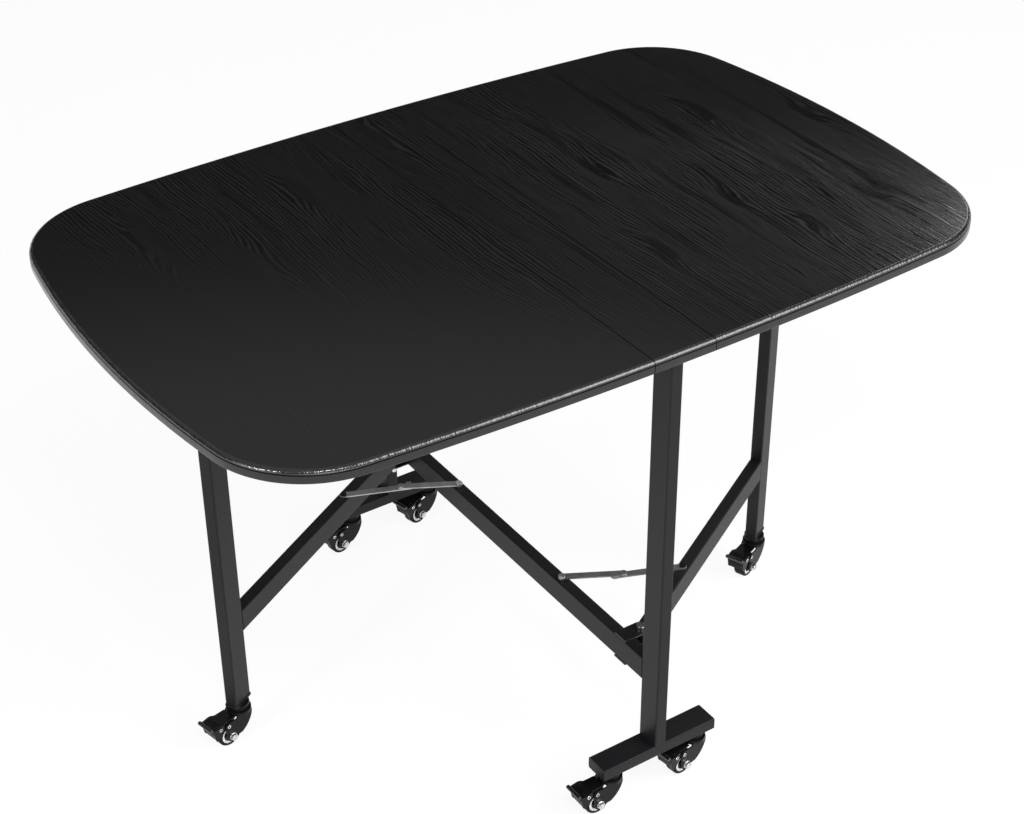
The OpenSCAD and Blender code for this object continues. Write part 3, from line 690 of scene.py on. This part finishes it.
def pedal_lip(bm):
    lip = [(LIP_R - LIP_SOFT, -PEDAL_HALF), (LIP_R, -PEDAL_HALF + LIP_SOFT)]
    lip += [(LIP_R, PEDAL_HALF - LIP_SOFT), (LIP_R - LIP_SOFT, PEDAL_HALF)]
    lathe(bm, LIP_AT, lip, closed=False, paints=[1] * len(lip), segments=LIP_SEGMENTS)


def pedal_ribs(bm):
    for u, drop in RIBS:
        lathe(bm, (u * MM, TREAD_Z - drop * MM), in_mm(RIB), closed=False, segments=RIB_SEGMENTS)


def pedal_side(bm, side):
    """Cheek, ear and rivet head on one side of the pedal."""
    plate(bm, softened(in_mm(CHEEK), CHEEK_SOFT), side * CHEEK_IN, side * CHEEK_OUT)
    plate(bm, softened(in_mm(EAR), EAR_SOFT), side * EAR_IN, side * EAR_OUT)
    head = [(HEAD_R, side * CHEEK_OUT), (HEAD_R, side * (RIVET_FACE - HEAD_SOFT))]
    head += [(HEAD_FACE_R, side * RIVET_FACE)]
    lathe(bm, PEDAL_RIVET, head, closed=False, segments=RIVET_SEGMENTS)


def brake_pedal(caster):
    """Pedal: tread with cross ribs and a rolled lip, cheeks, ears, rivet heads and a stepped brake shoe."""
    bm = bmesh.new()
    tread_sheet(bm)
    pedal_lip(bm)
    pedal_ribs(bm)
    pedal_side(bm, -1)
    pedal_side(bm, 1)
    plate(bm, in_mm(SHOE), -SHOE_HALF, SHOE_HALF)
    bm.transform(caster_matrix(caster))
    name = caster + "_brake_pedal"
    body = caster + "_brake"
    nodes = [caster + "_caster_pedal"]
    mesh = mesh_of(bm, name)
    finish_piece(mesh, name, [PEDAL, LIP], body, nodes, bevel=0.4 * MM, angle=40)


def build_casters():
    for caster in CASTERS:
        wheel_hub(caster)
        brake_pedal(caster)
        rivet_caps(caster, PEDAL_PIN, caster + "_swivel", caster + "_fork_rivets")
        rivet_caps(caster, PEDAL_RIVET, caster + "_brake", caster + "_pedal_rivets")


# CAD nodes that keep their shape: rounded edges and paint


def dress(node, paint, bevel=0.0):
    cad = frame["nodes"][node]
    cad.data.materials.clear()
    cad.data.materials.append(paint)
    if bevel:
        weld = cad.modifiers.new("weld", "WELD")
        weld.merge_threshold = HAIR
        round_edges(cad, bevel, segments=2, angle=40)


def dress_frame():
    for node in ("front_post", "back_post", "feet", "lower_rail", "top_rail"):
        dress(node, POWDER)
    dress("pivot_brackets", BRACKET, 0.6 * MM)
    dress("foot_plugs", PLUG)
    dress("frame_bolts", ZINC, 0.6 * MM)
    dress("fixed_hinge_plates", SHEET)
    dress("frame_stems", FORK, 0.6 * MM)
    for side in ("left", "right"):
        dress(side + "_gate_leg", POWDER)
        dress(side + "_gate_rails", POWDER)
        dress(side + "_gate_plugs", PLUG)
        dress(side + "_gate_fasteners", FORK, 0.6 * MM)
        dress(side + "_hinge_plates", SHEET)
        dress(side + "_frame_link", LINK, 0.4 * MM)
        dress(side + "_gate_link", LINK, 0.4 * MM)
    for caster in CASTERS:
        dress(caster + "_caster_fork", FORK, 0.7 * MM)
        dress(caster + "_caster_axle", ZINC, 0.4 * MM)
        dress(caster + "_caster_tyre", RUBBER)


# Camera: place in metres, turns in degrees, and measures of the photograph in pixels
CAMERA_AT = Vector((-1.3505, -2.0509, 2.0800))
CAMERA_AZIMUTH = -33.576
CAMERA_DOWN = 33.811
CAMERA_ROLL = -0.402
FOCAL_PIXELS = 2040.9
IMAGE_WIDTH = 1024
PRINCIPAL_RIGHT = 2.0
PRINCIPAL_DOWN = 6.3
SENSOR_MM = 36.0
FARTHEST = 50


def add_camera():
    data = bpy.data.cameras.new("camera")
    data.sensor_width = SENSOR_MM
    data.lens = FOCAL_PIXELS / IMAGE_WIDTH * SENSOR_MM
    data.shift_x = -PRINCIPAL_RIGHT / IMAGE_WIDTH
    data.shift_y = PRINCIPAL_DOWN / IMAGE_WIDTH
    data.clip_end = FARTHEST
    camera = bpy.data.objects.new("camera", data)
    azimuth = math.radians(CAMERA_AZIMUTH)
    down = math.radians(CAMERA_DOWN)
    ahead = Vector((-math.sin(azimuth) * math.cos(down), math.cos(azimuth) * math.cos(down), -math.sin(down)))
    level = Vector((math.cos(azimuth), math.sin(azimuth), 0.0))
    right = Matrix.Rotation(math.radians(-CAMERA_ROLL), 3, ahead) @ level
    up = right.cross(ahead)
    basis = Matrix((right, up, -ahead)).transposed()
    camera.matrix_world = Matrix.Translation(CAMERA_AT) @ basis.to_4x4()
    bpy.context.scene.collection.objects.link(camera)
    bpy.context.scene.camera = camera


# Studio: grey of its walls and ceiling against the sine of the height above the horizon
WALLS = [(0.0, 1.0), (0.14, 0.95), (0.17, 0.05), (0.44, 0.05), (0.49, 0.03), (0.55, 0.36), (1.0, 0.42)]

# Size of the floor in metres, its own grey and roughness, and how it is mixed with a white glow
FLOOR_SIZE = 30
FLOOR_GREY = 0.88
FLOOR_ROUGH = 0.9
FLOOR_SHADOW = 0.12
FLOOR_GLOW = 1.03


def add_lamp(name, place, aim, size, power):
    data = bpy.data.lights.new(name, "AREA")
    data.shape = "RECTANGLE"
    data.size, data.size_y = size
    data.energy = power
    lamp = bpy.data.objects.new(name, data)
    lamp.location = place
    lamp.rotation_euler = (Vector(aim) - Vector(place)).to_track_quat("-Z", "Y").to_euler()
    bpy.context.scene.collection.objects.link(lamp)


def ramp_of(tree, value, stops):
    """Colour ramp in greys from (place, grey) pairs."""
    ramp = tree.nodes.new("ShaderNodeValToRGB")
    tree.links.new(value, ramp.inputs[0])
    points = ramp.color_ramp.elements
    while len(points) < len(stops):
        points.new(0.5)
    for point, (place, grey) in zip(points, stops):
        point.position = place
        point.color = (grey, grey, grey, 1)
    return ramp.outputs[0]


def add_world():
    """White studio wall low down, a dark band above it and a grey ceiling."""
    world = bpy.data.worlds.new("studio")
    bpy.context.scene.world = world
    world.use_nodes = True
    tree = world.node_tree
    coords = tree.nodes.new("ShaderNodeTexCoord")
    split = tree.nodes.new("ShaderNodeSeparateXYZ")
    tree.links.new(coords.outputs["Generated"], split.inputs[0])
    background = tree.nodes["Background"]
    tree.links.new(ramp_of(tree, split.outputs[2], WALLS), background.inputs["Color"])


def glowing_rays(tree):
    """One for the rays that see the floor's glow: from the camera, mirrored or let through glass."""
    path = tree.nodes.new("ShaderNodeLightPath")
    total = path.outputs["Is Camera Ray"]
    for kind in ("Is Glossy Ray", "Is Transmission Ray"):
        add = tree.nodes.new("ShaderNodeMath")
        add.operation = "MAXIMUM"
        tree.links.new(total, add.inputs[0])
        tree.links.new(path.outputs[kind], add.inputs[1])
        total = add.outputs[0]
    return total


def floor_white():
    """White glow mixed with a small share of plain floor, which keeps a soft shadow."""
    material = bpy.data.materials.new("floor_white")
    material.use_nodes = True
    tree = material.node_tree
    shader = tree.nodes["Principled BSDF"]
    shader.inputs["Base Color"].default_value = (FLOOR_GREY, FLOOR_GREY, FLOOR_GREY, 1)
    shader.inputs["Roughness"].default_value = FLOOR_ROUGH
    glow = tree.nodes.new("ShaderNodeEmission")
    glow.inputs["Strength"].default_value = FLOOR_GLOW
    share = tree.nodes.new("ShaderNodeMath")
    share.operation = "MULTIPLY"
    share.inputs[1].default_value = 1 - FLOOR_SHADOW
    mix = tree.nodes.new("ShaderNodeMixShader")
    tree.links.new(glowing_rays(tree), share.inputs[0])
    tree.links.new(share.outputs[0], mix.inputs[0])
    tree.links.new(shader.outputs[0], mix.inputs[1])
    tree.links.new(glow.outputs[0], mix.inputs[2])
    tree.links.new(mix.outputs[0], tree.nodes["Material Output"].inputs[0])
    return material


def add_floor():
    bm = bmesh.new()
    bmesh.ops.create_grid(bm, x_segments=1, y_segments=1, size=FLOOR_SIZE)
    mesh = mesh_of(bm, "studio_floor")
    floor = bpy.data.objects.new("studio_floor", mesh)
    bpy.context.scene.collection.objects.link(floor)
    mesh.materials.append(floor_white())


def add_stage():
    add_world()
    add_floor()
    add_lamp("front_softbox", (-1.6, -4.2, 1.4), (0, 0, 0.5), (2.4, 1.8), 35)
    add_lamp("glint_front", (-1.1, -2.4, 3.6), (0, -0.2, 0.1), (0.4, 0.4), 38)
    add_lamp("glint_left", (-3.4, -1.0, 2.4), (0, -0.2, 0.1), (0.4, 0.4), 38)
    add_lamp("left_softbox", (-4.0, -0.6, 1.8), (0, 0, 0.5), (2.0, 1.8), 28)
    add_lamp("edge_softbox", (1.8, -2.75, 2.8), (0, -0.4, 0.75), (2.6, 2.6), 138)
    add_lamp("right_softbox", (2.99, 1.47, 2.39), (0.55, -0.33, 0.75), (0.6, 0.9), 6.5)
    bpy.context.scene.view_settings.view_transform = "Standard"


add_camera()
add_stage()
build_top()
build_casters()
dress_frame()
